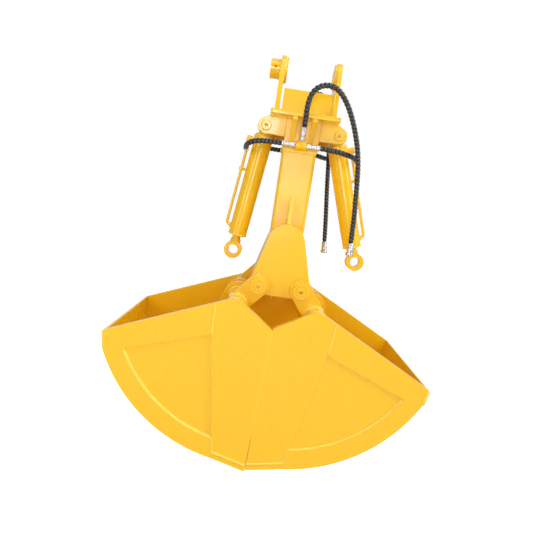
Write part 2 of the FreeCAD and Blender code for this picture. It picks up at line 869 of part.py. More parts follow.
def make_oil_line(name, side):
    """The hard line down the outer side: elbow at the top, clamp, and a turn into the gland's end."""
    body = new_body(f"{name}_oil_line")
    offset, foot = s.oil_line_offset, s.oil_line_foot
    low = foot + s.oil_line_radius
    pipe = [Ring(offset * side, 0, s.oil_line_radius)]
    pad(body, sketch_on(body, "XY_Plane", pipe, lift=-low), low - s.oil_line_start)
    turn = [Ring(0, -foot, s.oil_line_radius)]
    pad(body, sketch_on(body, "YZ_Plane", turn, lift=offset * min(side, 0)), offset)
    elbow = [Ring(offset * side, 0, s.stub_radius)]
    height = s.stub_radius * 2
    pad(body, sketch_on(body, "XY_Plane", elbow, lift=-(s.oil_line_start + s.stub_radius)), height)
    stub = [Ring(offset * side, -s.oil_line_start, s.stub_radius)]
    pad(body, sketch_on(body, "XZ_Plane", stub), s.oil_line_stub)
    strap = [
        (0, -s.oil_line_radius),
        (offset, -s.oil_line_radius),
        (offset, s.oil_line_radius),
        (0, s.oil_line_radius),
    ]
    pad(body, sketch_on(body, "XY_Plane", [strap], lift=-s.oil_clamp_drop, flip=side), s.oil_clamp_height)
    cut_through(body, sketch_on(body, "XY_Plane", [Ring(0, 0, s.barrel_radius)]))
    on_cylinder(body, side)


def make_piston(name, side):
    body = new_body(f"{name}_piston")
    foot = s.piston_start + s.piston_length
    nut = s.piston_start - s.piston_nut_length
    wall = BARREL_BORE - s.rod_clearance
    section = [
        (s.rod_spigot_radius, -nut),
        (s.rod_spigot_radius, -foot),
        (wall, -foot),
        (wall, -s.piston_start),
        (s.piston_nut_radius, -s.piston_start),
        (s.piston_nut_radius, -nut),
    ]
    revolve(body, sketch_on(body, "XZ_Plane", [section]), "V_Axis")
    on_cylinder(body, side)


def make_rod(name, side):
    body = new_body(f"{name}_rod")
    foot = s.piston_start + s.piston_length
    section = [
        (0, -(s.piston_start - s.piston_nut_length)),
        (0, -ROD_TOP),
        (s.rod_radius, -ROD_TOP),
        (s.rod_radius, -foot),
        (s.rod_spigot_radius, -foot),
        (s.rod_spigot_radius, -(s.piston_start - s.piston_nut_length)),
    ]
    revolve(body, sketch_on(body, "XZ_Plane", [section]), "V_Axis")
    on_cylinder(body, side)


def make_rod_eye(name, side):
    body = new_body(f"{name}_rod_eye")
    neck = [Ring(0, 0, s.rod_eye_neck_radius)]
    pad(body, sketch_on(body, "XY_Plane", neck, lift=-s.rod_eye_drop), s.rod_eye_drop - ROD_TOP)
    eye = [Ring(0, -s.rod_eye_drop, s.rod_eye_radius)]
    pad(body, sketch_on(body, "XZ_Plane", eye), s.rod_eye_width, both_ways=True)
    bore = [Ring(0, -s.rod_eye_drop, s.rod_eye_bore_radius)]
    cut_through(body, sketch_on(body, "XZ_Plane", bore))
    on_cylinder(body, side)


# Shells

def shell_points():
    """The corners of a shell's profile that its plates share."""
    tube_x, tube_z = s.cross_tube_out, -s.cross_tube_drop
    crown_x = derive("crown_x", tube_x + s.corner_radius * sine(s.rim_slope))
    crown_z = derive("crown_z", tube_z + s.corner_radius * cosine(s.rim_slope))
    inner_x = derive("inner_x", tube_x - s.corner_radius * sine(s.notch_slope))
    inner_z = derive("inner_z", tube_z + s.corner_radius * cosine(s.notch_slope))
    tip_z = derive("tip_z", crown_z - (s.tip_out - crown_x) * tangent(s.rim_slope))
    notch_z = derive("notch_z", inner_z - (inner_x - SEAM) * tangent(s.notch_slope))
    run_x, run_z = s.heel_out - SEAM, s.lip_drop - s.heel_drop
    slant = derive("lip_slant", root(run_x * run_x + run_z * run_z))
    step_x = derive("edge_step_x", s.cutting_edge * run_z / slant)
    step_z = derive("edge_step_z", s.cutting_edge * run_x / slant)
    return {
        "crown": (crown_x, crown_z),
        "inner": (inner_x, inner_z),
        "tip": (s.tip_out, tip_z),
        "tip_low": (s.tip_out - s.tip_inset, tip_z - s.tip_height),
        "notch": (SEAM, notch_z),
        "heel": (s.heel_out, -s.heel_drop),
        "lip": (SEAM, -s.lip_drop),
        "heel_top": (s.heel_out - step_x, step_z - s.heel_drop),
        "lip_top": (SEAM, step_z - s.lip_drop + step_x * run_z / run_x),
    }


SHELL = shell_points()


def shell_outline():
    """Side of a shell: seam, round corner over the cross tube, rim, flat tip, round floor."""
    return [
        SHELL["notch"],
        SHELL["lip_top"],
        SHELL["heel_top"],
        SHELL["heel"],
        Bend(s.floor_radius, 1),
        SHELL["tip_low"],
        SHELL["tip"],
        SHELL["crown"],
        Bend(s.corner_radius, 1),
        SHELL["inner"],
    ]


def make_shell_sides(name, side):
    for label, start in (("front", SIDE_INSIDE), ("back", -SIDE_OUTSIDE)):
        body = plate(f"{name}_side_{label}", [shell_outline()], start, s.side_plate, flip=side)
        on_shell(body, side)


def make_side_frames(name, side):
    """The raised frames welded on the side plates: a wide centre, a top band and a curved band."""
    window = [
        (s.window_corner_out, -s.window_corner_drop),
        (s.window_heel_out, -s.window_heel_drop),
        Bend(s.window_radius, 1),
        (s.window_tip_out, -s.window_tip_drop),
    ]
    shapes = [shell_outline(), window]
    body = plate(f"{name}_side_frames", shapes, SIDE_OUTSIDE, s.side_frame, both=True, flip=side)
    on_shell(body, side)


def inward(start, end, depth, turn):
    """The step of a given depth square to the line from start to end."""
    dx, dz = end[0] - start[0], end[1] - start[1]
    length = root(dx * dx + dz * dz)
    return -dz * depth * turn / length, dx * depth * turn / length


def make_floor_plate(name, side):
    """The rolled floor between the side plates, bent up into the flat wall at the tip."""
    inner_radius = s.floor_radius - s.floor_plate
    tip, low, heel = SHELL["tip"], SHELL["tip_low"], SHELL["heel"]
    wall = inward(low, tip, s.floor_plate, 1)
    tip_in = (tip[0] + wall[0], tip[1] - wall[0] * tangent(s.rim_slope))
    low_in = (low[0] + wall[0], low[1] + wall[1])
    chord = inward(heel, low, s.floor_plate, 1)
    heel_step_x = (SHELL["heel_top"][0] - heel[0]) * s.floor_plate / s.cutting_edge
    heel_step_z = (SHELL["heel_top"][1] - heel[1]) * s.floor_plate / s.cutting_edge
    low_in = (low_in[0], low[1] + chord[1])
    outline = [
        heel,
        Bend(s.floor_radius, 1),
        low,
        tip,
        tip_in,
        low_in,
        Bend(inner_radius, -1),
        (heel[0] + heel_step_x, heel[1] + heel_step_z),
    ]
    body = new_body(f"{name}_floor_plate")
    sketch = sketch_on(body, "XZ_Plane", [outline], flip=side)
    pad(body, sketch, SIDE_INSIDE * 2, both_ways=True)
    on_shell(body, side)


def make_cutting_edge(name, side):
    """A thick bar along the lip, as wide as the shell, bevelled on its inner corner."""
    top, lip_top = SHELL["heel_top"], SHELL["lip_top"]
    slope = (top[1] - lip_top[1]) / (top[0] - lip_top[0])
    bevel = s.cutting_edge_bevel
    outline = [
        SHELL["lip"],
        SHELL["heel"],
        top,
        (lip_top[0], lip_top[1]),
    ]
    body = new_body(f"{name}_cutting_edge")
    sketch = sketch_on(body, "XZ_Plane", [outline], flip=side)
    pad(body, sketch, s.shell_half_width * 2, both_ways=True)
    groove = [
        (lip_top[0], lip_top[1]),
        (lip_top[0], lip_top[1] - bevel),
        (lip_top[0] + bevel, lip_top[1] + slope * bevel),
    ]
    sketch = sketch_on(body, "XZ_Plane", [groove], flip=side)
    feature = body.newObject("PartDesign::Pocket", f"{body.Name}_bevel")
    feature.Profile = sketch
    feature.SideType = "Symmetric"
    feature.setExpression("Length", (SIDE_INSIDE * 2).formula)
    body.Tip = feature
    on_shell(body, side)


def make_cross_tube(name, side):
    body = new_body(f"{name}_cross_tube")
    centre = (s.cross_tube_out, -s.cross_tube_drop)
    inner = s.cross_tube_radius - s.cross_tube_wall
    rings = [Ring(*centre, s.cross_tube_radius), Ring(*centre, inner)]
    sketch = sketch_on(body, "XZ_Plane", rings, flip=side)
    pad(body, sketch, SIDE_INSIDE * 2, both_ways=True)
    on_shell(body, side)


def toward_tube():
    """The unit direction from the hinge pin to the cross tube."""
    square = s.cross_tube_out * s.cross_tube_out + s.cross_tube_drop * s.cross_tube_drop
    reach = derive("tube_reach", root(square))
    return s.cross_tube_out / reach, -s.cross_tube_drop / reach


TOWARD = toward_tube()


def make_arms(name, side):
    """Two arms per shell, round about the hinge pin with a boss, and coped on the cross tube."""
    body = new_body(f"{name}_arms")
    ex, ez = TOWARD
    radius, reach = s.arm_radius, s.arm_length
    outline = [
        (ez * radius, -ex * radius),
        (ex * reach + ez * radius, ez * reach - ex * radius),
        (ex * reach - ez * radius, ez * reach + ex * radius),
        (-ez * radius, ex * radius),
        Bend(radius, 1, (0, 0)),
    ]
    bore = Ring(0, 0, s.hinge_pin_radius + s.pin_clearance)
    arm = pad(body, sketch_on(body, "XZ_Plane", [outline, bore], lift=ARM_FACE, flip=side), s.arm_thickness)
    rings = [Ring(0, 0, s.arm_boss_radius), bore]
    boss = pad(body, sketch_on(body, "XZ_Plane", rings, lift=ARM_FACE), BOSS_FACE - ARM_FACE)
    mirror_in(body, [arm, boss], "XZ_Plane")
    tube = [Ring(s.cross_tube_out, -s.cross_tube_drop, s.cross_tube_radius)]
    cut_through(body, sketch_on(body, "XZ_Plane", tube, flip=side))
    on_shell(body, side)


def make_rod_lugs(name, side):
    """The pair of plates round the cross tube that the rod eye is pinned between in use."""
    body = new_body(f"{name}_rod_lugs")
    tube_x, tube_z = s.cross_tube_out, -s.cross_tube_drop
    pin_x, pin_z = s.rod_lug_out, -s.rod_lug_drop
    run_x, run_z = pin_x - tube_x, pin_z - tube_z
    length = derive(f"{name}_lug_length", root(run_x * run_x + run_z * run_z))
    ex, ez = run_x / length, run_z / length
    collar, end = s.rod_lug_collar_radius, s.rod_lug_radius
    lean = derive(f"{name}_lug_lean", (collar - end) / length)
    level = derive(f"{name}_lug_level", root(1 - lean * lean))
    low = (ex * lean + ez * level, ez * lean - ex * level)
    high = (ex * lean - ez * level, ez * lean + ex * level)
    outline = [
        (tube_x + low[0] * collar, tube_z + low[1] * collar),
        (pin_x + low[0] * end, pin_z + low[1] * end),
        Bend(end, 1),
        (pin_x + high[0] * end, pin_z + high[1] * end),
        (tube_x + high[0] * collar, tube_z + high[1] * collar),
        Bend(collar, 1),
        (tube_x - ex * collar, tube_z - ez * collar),
        Bend(collar, 1),
    ]
    bore = Ring(pin_x, pin_z, s.rod_lug_bore_radius)
    sketch = sketch_on(body, "XZ_Plane", [outline, bore], lift=s.rod_lug_gap / 2, flip=side)
    lug = pad(body, sketch, s.rod_lug_thickness)
    mirror_in(body, [lug], "XZ_Plane")
    tube = [Ring(tube_x, tube_z, s.cross_tube_radius)]
    cut_through(body, sketch_on(body, "XZ_Plane", tube, flip=side))
    on_shell(body, side)


# Hoses

def rounded_path(points):
    """Straight runs joined by tangent arcs, each as large as its two runs allow."""
    edges, radii = [], []
    last = points[0]
    for before, corner, after in zip(points, points[1:], points[2:]):
        back, ahead = before - corner, after - corner
        shorter = min(back.Length, ahead.Length)
        turn = math.pi - back.getAngle(ahead)
        reach = 0.45 * shorter
        radii.append(reach / math.tan(turn / 2))
        back.normalize()
        ahead.normalize()
        start, end = corner + back * reach, corner + ahead * reach
        bisector = (back + ahead).normalize()
        middle_reach = radii[-1] / math.cos(turn / 2) - radii[-1]
        edges.append(Part.LineSegment(last, start).toShape())
        edges.append(Part.Arc(start, corner + bisector * middle_reach, end).toShape())
        last = end
    edges.append(Part.LineSegment(last, points[-1]).toShape())
    return Part.Wire(edges), radii


def make_hose(label, points):
    """A plain hose of round section along its route."""
    path, radii = rounded_path(points)
    direction = points[1] - points[0]
    section = Part.Wire(Part.makeCircle(s.hose_radius.value, points[0], direction))
    hose = path.makePipeShell([section], True, False)
    expected = math.pi * s.hose_radius.value ** 2 * path.Length
    print(f"{label}: length {path.Length:.0f}, volume {hose.Volume / expected:.4f} of expected,",
          f"radii {', '.join(f'{radius:.0f}' for radius in radii)}")
    add_shape(label, hose)


def on_hinge_level(points):
    return [vector(x, y, z + HINGE_LEVEL.value) for x, y, z in points]


def cylinder_point(side, out, y, drop):
    """A point fixed to a cylinder: its distance outward, its Y, and its drop from the lug pin."""
    tilt = math.radians((s.right_cylinder_tilt if side > 0 else s.left_cylinder_tilt).value)
    x = out * math.cos(tilt) + drop * math.sin(tilt)
    z = out * math.sin(tilt) - drop * math.cos(tilt)
    base_z = HINGE_LEVEL.value + LUG_PIN_RISE.value
    return vector(side * (s.lug_pin_spread.value + x), y, base_z + z)


def union_end(front, port):
    """Where a hose leaves the union on a tee's port: 0 left, 1 right, 2 top."""
    middle, direction = tee_ports(front)[port]
    reach = s.tee_arm + s.union_nut_length + s.union_sleeve_length
    return middle + direction * reach.value, direction


# Points between the two ends of each hose, from the level of the hinge pins
SUPPLY_FRONT_ROUTE = [
    (-1, -139, 510), (2, -143, 537), (14, -144, 560), (35, -142, 573), (59, -138, 575),
    (81, -132, 566), (102, -125, 546), (122, -118, 517), (142, -110, 477), (160, -103, 430),
    (172, -97, 379), (179, -92, 325), (185, -88, 268), (190, -86, 211), (192, -85, 155),
]
SUPPLY_BACK_ROUTE = [
    (-9, 139, 512), (-16, 142, 540), (-15, 143, 568), (-3, 143, 594), (16, 143, 611),
    (38, 143, 617), (62, 142, 612), (82, 140, 595), (94, 138, 570), (98, 136, 540),
    (98, 133, 505), (100, 124, 470), (105, 109, 430), (109, 99, 385), (115, 94, 325),
    (122, 91, 265), (130, 90, 203), (137, 90, 136),
]
PRESSURE_ROUTES = {
    -1: [(-112, -99, 409), (-138, -95, 405), (-155, -78, 397)],
    1: [(115, -96, 408), (142, -85, 405), (162, -69, 402)],
}
RETURN_ROUTES = {
    -1: [(-107, 99, 413), (-137, 82, 418)],
    1: [(81, 110, 410), (99, 128, 409), (124, 133, 411), (146, 117, 418), (157, 88, 425)],
}
LEAD = 20


def make_link_hose(label, front, port, route, end):
    """A short hose: straight out of the tee's union, along its route, straight into the stub."""
    start, direction = union_end(front, port)
    lead_in = start + direction * (LEAD if len(route) < 4 else LEAD * 0.75)
    lead_out = end + vector(0, front * 1.25 * LEAD, 0)
    make_hose(label, [start, lead_in] + on_hinge_level(route) + [lead_out, end])


def make_link_hoses():
    """Four short hoses from the tees to the cylinders: pressure in front, return behind."""
    line_x, line_y, line_z = s.oil_line_offset, s.oil_line_stub, s.oil_line_start
    cap_x, cap_y, cap_z = s.cap_port_reach - s.cap_port_radius, s.cap_port_stub, s.cap_port_drop
    for name, side, port in (("left", -1, 0), ("right", 1, 1)):
        end = cylinder_point(side, line_x.value, -line_y.value, line_z.value)
        make_link_hose(f"{name}_pressure_hose", -1, port, PRESSURE_ROUTES[side], end)
        end = cylinder_point(side, cap_x.value, cap_y.value, cap_z.value)
        make_link_hose(f"{name}_return_hose", 1, port, RETURN_ROUTES[side], end)


def coupling_solid(base, direction):
    sleeve_length = s.coupling_sleeve_length.value
    sleeve = Part.makeCylinder(s.coupling_sleeve_radius.value, sleeve_length, base, direction)
    nut_base = base + direction * sleeve_length
    nut = hexagonal(nut_base, direction, s.coupling_nut_radius.value, s.coupling_nut_length.value)
    return sleeve.fuse(nut)


def make_supply_hoses():
    """Two long hoses that hang free from the tees, with a crimped coupling on each end."""
    for end, front, route in (
        ("front", -1, SUPPLY_FRONT_ROUTE),
        ("back", 1, SUPPLY_BACK_ROUTE),
    ):
        start, direction = union_end(front, 2)
        points = [start, start + direction * 1.3 * LEAD] + on_hinge_level(route)
        make_hose(f"supply_hose_{end}", points)
        direction = (points[-1] - points[-2]).normalize()
        add_shape(f"supply_coupling_{end}", coupling_solid(points[-1], direction))


# The whole grab

def make_all():
    make_base_plate()
    make_ears()
    make_ear_boss()
    make_ear_pads()
    make_cross_plate()
    make_column_tube()
    make_head_plates()
    make_head_gussets()
    make_lug_plates()
    make_lug_pins()
    make_apron_plates()
    make_apron_sides()
    make_apron_ribs()
    make_hinge_tubes()
    make_hinge_pins()
    make_tees()
    make_tee_unions()
    for name, side in (("left", -1), ("right", 1)):
        for make in (make_barrel, make_base_eye, make_gland, make_oil_line):
            make(name, side)
        for make in (make_piston, make_rod, make_rod_eye):
            make(name, side)
        for make in (make_shell_sides, make_side_frames, make_floor_plate, make_cutting_edge):
            make(name, side)
        for make in (make_cross_tube, make_arms, make_rod_lugs):
            make(name, side)
    make_link_hoses()
    make_supply_hoses()


def sub_parts():
    return [piece for piece in doc.Objects
            if piece.TypeId == "PartDesign::Body" or piece.TypeId == "Part::Feature"]


def check_and_write():
    failed = [piece.Label for piece in doc.Objects if "Invalid" in piece.State or "Error" in piece.State]
    if failed:
        raise RuntimeError(f"failed objects: {failed}")
    os.makedirs("parts", exist_ok=True)
    for piece in sub_parts():
        if piece.Shape.isNull() or not piece.Shape.isValid() or not piece.Shape.Solids:
            raise RuntimeError(f"bad shape: {piece.Label}")
    for piece in sub_parts():
        piece.Shape.exportStep(f"parts/{piece.Label}.step")
    print(len(sub_parts()), "sub-parts written")


make_all()
doc.recompute()
check_and_write()
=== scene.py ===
# Hydraulic clamshell grab: the looks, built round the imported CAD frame.
# The row frame has its origin in the middle of the hanger bore. Lengths are in metres,
# and in mm where a comment says so.
from math import atan2, cos, hypot, pi, radians, sin, sqrt

import bmesh
import bpy
from mathutils import Matrix, Vector


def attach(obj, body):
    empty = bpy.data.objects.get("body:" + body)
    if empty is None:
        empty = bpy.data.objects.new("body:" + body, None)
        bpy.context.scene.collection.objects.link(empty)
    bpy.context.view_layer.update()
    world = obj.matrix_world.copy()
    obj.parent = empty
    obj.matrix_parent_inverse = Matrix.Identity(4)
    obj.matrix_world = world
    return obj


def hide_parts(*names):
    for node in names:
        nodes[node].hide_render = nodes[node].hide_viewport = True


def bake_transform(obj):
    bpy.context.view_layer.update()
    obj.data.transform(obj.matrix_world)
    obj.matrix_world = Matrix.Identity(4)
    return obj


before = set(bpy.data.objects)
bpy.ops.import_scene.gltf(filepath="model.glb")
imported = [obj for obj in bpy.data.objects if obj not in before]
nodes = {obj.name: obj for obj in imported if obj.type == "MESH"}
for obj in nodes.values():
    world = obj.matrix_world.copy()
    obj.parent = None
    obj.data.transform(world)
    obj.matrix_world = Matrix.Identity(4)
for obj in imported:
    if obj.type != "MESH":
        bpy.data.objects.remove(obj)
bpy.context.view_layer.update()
MM = 0.001
SIDES = {"left": -1, "right": 1}

# The pins of the shells and of the cylinders
HINGE_X = 0.062
HINGE_Z = -0.634
LUG_PIN_X = 0.1075
LUG_PIN_Z = -0.177


# Camera, at the photograph's angle

def make_camera():
    right = Vector((0.989, 0.0077, 0.1468))
    forward = Vector((0.0139, 0.989, -0.1458))
    up = right.cross(forward)
    turn = Matrix((right, up, -forward)).transposed().to_4x4()
    data = bpy.data.cameras.new("camera")
    data.sensor_width = 36.0
    data.lens = 36.0 * 450 / 533
    data.clip_start = 0.05
    camera = bpy.data.objects.new("camera", data)
    camera.matrix_world = Matrix.Translation((-0.065, -1.425, -0.388)) @ turn
    bpy.context.scene.collection.objects.link(camera)
    bpy.context.scene.camera = camera


make_camera()


# Materials

def new_material(name):
    material = bpy.data.materials.new(name)
    material.use_nodes = True
    tree = material.node_tree
    return material, tree, tree.nodes["Principled BSDF"]


def add(tree, kind, **settings):
    node = tree.nodes.new(kind)
    for key, value in settings.items():
        setattr(node, key, value)
    return node


def noise(tree, scale, detail=3.0, rough=0.55):
    """3-D noise in the row frame, so it has one real scale on every piece."""
    place = add(tree, "ShaderNodeTexCoord")
    made = add(tree, "ShaderNodeTexNoise")
    made.inputs["Scale"].default_value = scale
    made.inputs["Detail"].default_value = detail
    made.inputs["Roughness"].default_value = rough
    tree.links.new(place.outputs["Object"], made.inputs["Vector"])
    return made.outputs["Fac"]


def spread(tree, fac, low, high, start=0.3, end=0.7):
    made = add(tree, "ShaderNodeMapRange")
    made.inputs["From Min"].default_value = start
    made.inputs["From Max"].default_value = end
    made.inputs["To Min"].default_value = low
    made.inputs["To Max"].default_value = high
    tree.links.new(fac, made.inputs["Value"])
    return made.outputs["Result"]


def blend_colours(tree, fac, first, second):
    made = add(tree, "ShaderNodeMix", data_type="RGBA")
    tree.links.new(fac, made.inputs["Factor"])
    for key, colour in (("A", first), ("B", second)):
        port = [p for p in made.inputs if p.name == key and p.type == "RGBA"][0]
        if isinstance(colour, tuple):
            port.default_value = (*colour, 1.0)
        else:
            tree.links.new(colour, port)
    return [p for p in made.outputs if p.type == "RGBA"][0]


def bump(tree, height, strength, distance, under=None):
    made = add(tree, "ShaderNodeBump")
    made.inputs["Strength"].default_value = strength
    made.inputs["Distance"].default_value = distance
    tree.links.new(height, made.inputs["Height"])
    if under is not None:
        tree.links.new(under, made.inputs["Normal"])
    return made.outputs["Normal"]


def paint_material(name, deep=(0.84, 0.43, 0.006), full=(0.93, 0.53, 0.008), rough=0.27, peel=0.06):
    """Sprayed chrome yellow enamel: orange peel, faint clouds where the coat is thinner, clear gloss."""
    material, tree, shader = new_material(name)
    clouds = spread(tree, noise(tree, 7.0, 4.0), 0.0, 1.0, 0.35, 0.65)
    body = blend_colours(tree, clouds, tuple(0.92 * a + 0.08 * b for a, b in zip(full, deep)), full)
    runs = spread(tree, noise(tree, 38.0, 5.0), 0.0, 0.12, 0.5, 0.8)
    body = blend_colours(tree, runs, body, deep)
    tree.links.new(body, shader.inputs["Base Color"])
    gloss = spread(tree, noise(tree, 22.0, 3.0), rough - 0.05, rough + 0.08)
    tree.links.new(gloss, shader.inputs["Roughness"])
    wave = bump(tree, noise(tree, 9.0, 1.0), 0.10, 0.0012)
    skin = bump(tree, noise(tree, 420.0, 2.0), peel, 0.0004, wave)
    tree.links.new(skin, shader.inputs["Normal"])
    shader.inputs["Coat Weight"].default_value = 0.38
    shader.inputs["Coat Roughness"].default_value = 0.07
    shader.inputs["IOR"].default_value = 1.38
    return material


def metal_material(name, colour, dark, rough, lines):
    material, tree, shader = new_material(name)
    cloud = spread(tree, noise(tree, 90.0, 5.0), 0.0, 1.0, 0.35, 0.7)
    tree.links.new(blend_colours(tree, cloud, colour, dark), shader.inputs["Base Color"])
    gloss = spread(tree, noise(tree, 160.0, 4.0), rough - 0.06, rough + 0.1)
    tree.links.new(gloss, shader.inputs["Roughness"])
    tree.links.new(bump(tree, noise(tree, lines, 3.0), 0.12, 0.0002), shader.inputs["Normal"])
    shader.inputs["Metallic"].default_value = 1.0
    return material


def rubber_material(name, colour, dust, rough, coat):
    material, tree, shader = new_material(name)
    film = spread(tree, noise(tree, 55.0, 5.0), 0.0, 0.55, 0.48, 0.78)
    tree.links.new(blend_colours(tree, film, colour, dust), shader.inputs["Base Color"])
    gloss = spread(tree, noise(tree, 140.0, 4.0), rough - 0.05, rough + 0.12)
    tree.links.new(gloss, shader.inputs["Roughness"])
    tree.links.new(bump(tree, noise(tree, 900.0, 3.0), 0.05, 0.0003), shader.inputs["Normal"])
    shader.inputs["Coat Weight"].default_value = coat
    shader.inputs["Coat Roughness"].default_value = 0.14
    return material


YELLOW = paint_material("yellow_enamel")
# The weld beads' enamel is paler and yellower than the plates' enamel. This is a painted highlight,
# standing in for the light that the rippled beads catch.
WELD = paint_material("paler_enamel_painted_highlight_on_weld", full=(0.97, 0.70, 0.10), rough=0.18, peel=0.14)
ZINC = metal_material("zinc_plate", (0.80, 0.79, 0.83), (0.62, 0.61, 0.66), 0.28, 700.0)
CHROME = metal_material("hard_chrome", (0.88, 0.88, 0.90), (0.74, 0.74, 0.77), 0.12, 1500.0)
STEEL = metal_material("turned_steel", (0.56, 0.55, 0.54), (0.38, 0.36, 0.35), 0.34, 500.0)
BRASS = metal_material("nipple_brass", (0.75, 0.55, 0.16), (0.46, 0.30, 0.08), 0.32, 900.0)
RUBBER = rubber_material("hose_rubber", (0.005, 0.005, 0.005), (0.012, 0.011, 0.011), 0.50, 0.0)
GUARD = rubber_material("spiral_guard", (0.004, 0.004, 0.005), (0.010, 0.009, 0.010), 0.22, 1.0)


def dress(name, material):
    slots = nodes[name].data.materials
    slots.clear()
    slots.append(material)


METALS = {
    "left_rod": CHROME,
    "right_rod": CHROME,
    "left_piston": STEEL,
    "right_piston": STEEL,
}
for name in nodes:
    dress(name, METALS.get(name, YELLOW))


# Soft edges on the plates and castings that stay as the CAD has them

def soften(name, width):
    piece = nodes[name]
    weld = piece.modifiers.new("join", "WELD")
    weld.merge_threshold = 0.00002
    flat = piece.modifiers.new("flat_faces", "DECIMATE")
    flat.decimate_type = "DISSOLVE"
    flat.angle_limit = radians(0.4)
    round_off = piece.modifiers.new("edges", "BEVEL")
    round_off.width = width
    round_off.segments = 2
    round_off.limit_method = "ANGLE"
    round_off.angle_limit = radians(35)
    round_off.use_clamp_overlap = True
    even = piece.modifiers.new("normals", "WEIGHTED_NORMAL")
    even.weight = 50
    even.keep_sharp = False


TURNED = ("piston", "rod")
SMALL = ("oil_line", "tee", "coupling")
SMALL_EDGE = 0.0008
PLATE_EDGE = 0.0011
for name in nodes:
    if "hose" in name or name.endswith(TURNED):
        continue
    small = any(word in name for word in SMALL)
    soften(name, SMALL_EDGE if small else PLATE_EDGE)


# Making pieces

def link(piece, material, body):
    piece.data.materials.append(material)
    bpy.context.scene.collection.objects.link(piece)
    if body is not None:
        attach(piece, body)
    return piece


def mesh_piece(name, parts, material, body):
    """One mesh object from several (points, faces) parts."""
    points, faces = [], []
    for part_points, part_faces in parts:
        first = len(points)
        points.extend(part_points)
        faces.extend([tuple(first + i for i in face) for face in part_faces])
    data = bpy.data.meshes.new(name)
    data.from_pydata([tuple(p) for p in points], [], faces)
    work = bmesh.new()
    work.from_mesh(data)
    bmesh.ops.recalc_face_normals(work, faces=work.faces)
    work.to_mesh(data)
    work.free()
    for face in data.polygons:
        face.use_smooth = True
    data.set_sharp_from_angle(angle=radians(50))
    data.update()
    return link(bpy.data.objects.new(name, data), material, body)


def steps_along(points, step):
    """Evenly spaced points along a line of points, with the line's own ends."""
    marks = [0.0]
    for a, b in zip(points, points[1:]):
        marks.append(marks[-1] + (b - a).length)
    count = max(2, int(round(marks[-1] / step)) + 1)
    made, at = [], 0
    for i in range(count):
        want = marks[-1] * i / (count - 1)
        while at < len(points) - 2 and marks[at + 1] < want:
            at += 1
        span = marks[at + 1] - marks[at]
        made.append(points[at].lerp(points[at + 1], (want - marks[at]) / span if span else 0.0))
    return made, marks[-1]


def square_to(way):
    """A direction square to the given one."""
    start = Vector((0, 0, 1)) if abs(way.z) < 0.8 else Vector((1, 0, 0))
    return (start - way * start.dot(way)).normalized()


def axes_along(points, closed=False):
    """At each point: the line's direction and two axes across it that don't twist."""
    count = len(points)
    ways = []
    for i in range(count):
        before = points[(i - 1) % count] if closed or i else points[0]
        after = points[(i + 1) % count] if closed or i < count - 1 else points[-1]
        ways.append((after - before).normalized())
    across = square_to(ways[0])
    made = []
    for way in ways:
        across = (across - way * across.dot(way)).normalized()
        made.append((way, across, way.cross(across)))
    return made


def round_about(point, u, v, radius, sides):
    """A circle of points about one point."""
    turns = [2 * pi * k / sides for k in range(sides)]
    return [point + (u * cos(a) + v * sin(a)) * radius for a in turns]


def ring_faces(rings, sides, closed=False):
    """The faces between rings of points, with a cap on each end unless the line is closed."""
    faces = []
    for i in range(rings if closed else rings - 1):
        a, b = i * sides, ((i + 1) % rings) * sides
        faces.extend((a + k, a + (k + 1) % sides, b + (k + 1) % sides, b + k) for k in range(sides))
    if not closed:
        faces.append(tuple(range(sides))[::-1])
        faces.append(tuple(range((rings - 1) * sides, rings * sides)))
    return faces


def tube(points, radius, sides=16, closed=False):
    """A round tube along a line. The radius is a number, or a function of the point's number."""
    made = []
    for i, (point, (_, u, v)) in enumerate(zip(points, axes_along(points, closed))):
        size = radius(i) if callable(radius) else radius
        made.extend(round_about(point, u, v, size, sides))
    return made, ring_faces(len(points), sides, closed)


def lathe(profile, centre, way, sides=24):
    """A turned part: the profile is (distance along the axis, radius)."""
    way = Vector(way).normalized()
    centre = Vector(centre)
    u = square_to(way)
    v = way.cross(u)
    made = []
    for along, radius in profile:
        made.extend(round_about(centre + way * along, u, v, radius, sides))
    return made, ring_faces(len(profile), sides)


# Supply hoses: free cords, which hang over the right side

HOSE_RADIUS = 0.0064
GUARD_RADIUS = 0.0080
GUARD_PITCH = 0.0112
GUARD_STEPS = 20
GUARD_SINK = 0.0003


def on_hinge(points):
    """Points in mm above the hinge pins, as points of the row frame."""
    return [Vector((x * MM, y * MM, z * MM + HINGE_Z)) for x, y, z in points]


SUPPLY = {
    "front": on_hinge([
        (0, -121.24, 460.85), (0, -132.23, 484.41),
        (-1, -139, 510), (2, -143, 537), (14, -144, 560), (35, -142, 573), (59, -138, 575), (81, -132, 566),
        (102, -125, 546), (122, -118, 517), (142, -110, 477), (160, -103, 430), (172, -97, 379),
        (179, -92, 325), (185, -88, 268), (190, -86, 211), (192, -85, 155),
    ]),
    "back": on_hinge([
        (0, 121.24, 460.85), (0, 132.23, 484.41),
        (-9, 139, 512), (-16, 142, 540), (-15, 143, 568), (-3, 143, 594), (16, 143, 611), (38, 143, 617),
        (62, 142, 612), (82, 140, 595), (94, 138, 570), (98, 136, 540), (98, 133, 505), (100, 124, 470),
        (105, 109, 430), (109, 99, 385), (115, 94, 325), (122, 91, 265), (130, 90, 203), (137, 90, 136),
    ]),
}


def nurbs_curve(name, route, radius=0.0):
    data = bpy.data.curves.new(name, "CURVE")
    data.dimensions = "3D"
    spline = data.splines.new("NURBS")
    spline.points.add(len(route) - 1)
    for point, place in zip(spline.points, route):
        point.co = (*place, 1.0)
    spline.order_u = 3
    spline.use_endpoint_u = True
    spline.resolution_u = 12
    data.resolution_u = 12
    data.bevel_depth = radius
    data.bevel_resolution = 6
    data.use_fill_caps = True
    return bpy.data.objects.new(name, data)


